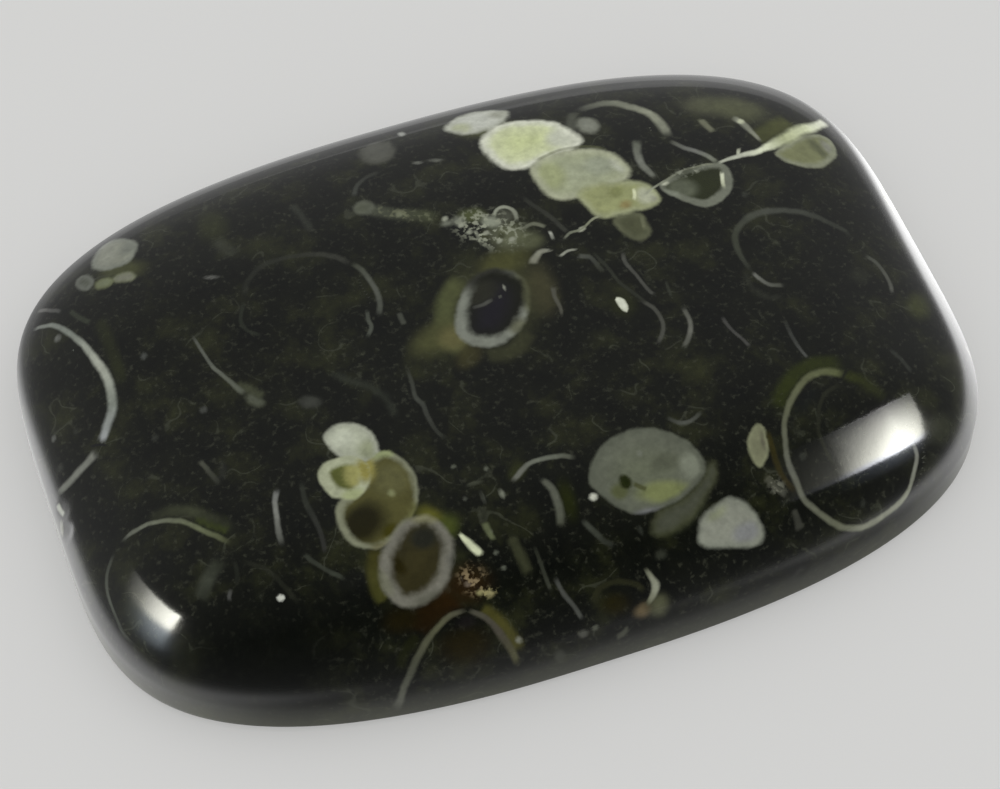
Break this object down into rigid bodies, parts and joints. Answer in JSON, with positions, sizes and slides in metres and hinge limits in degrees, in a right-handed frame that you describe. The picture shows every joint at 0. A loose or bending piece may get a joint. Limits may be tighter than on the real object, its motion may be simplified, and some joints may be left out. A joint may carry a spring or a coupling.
{
  "type": "turritella jasper cabochon",
  "caption": "Cushion-shaped polished cabochon of dark jasper full of cut fossil snail shells, with a low dome, a short girdle and a flat back to rest or be set on.",
  "frame": {"origin": "middle of the flat back, which lies on z = 0", "axes": "+X along the length of the stone, +Z out of the flat back up through the dome"},
  "size_m": [0.045, 0.0322, 0.0065],
  "materials": {
    "polished_jasper": "polished"
  },
  "bodies": {
    "root": {"cabochon": "polished_jasper"}
  },
  "joints": []
}
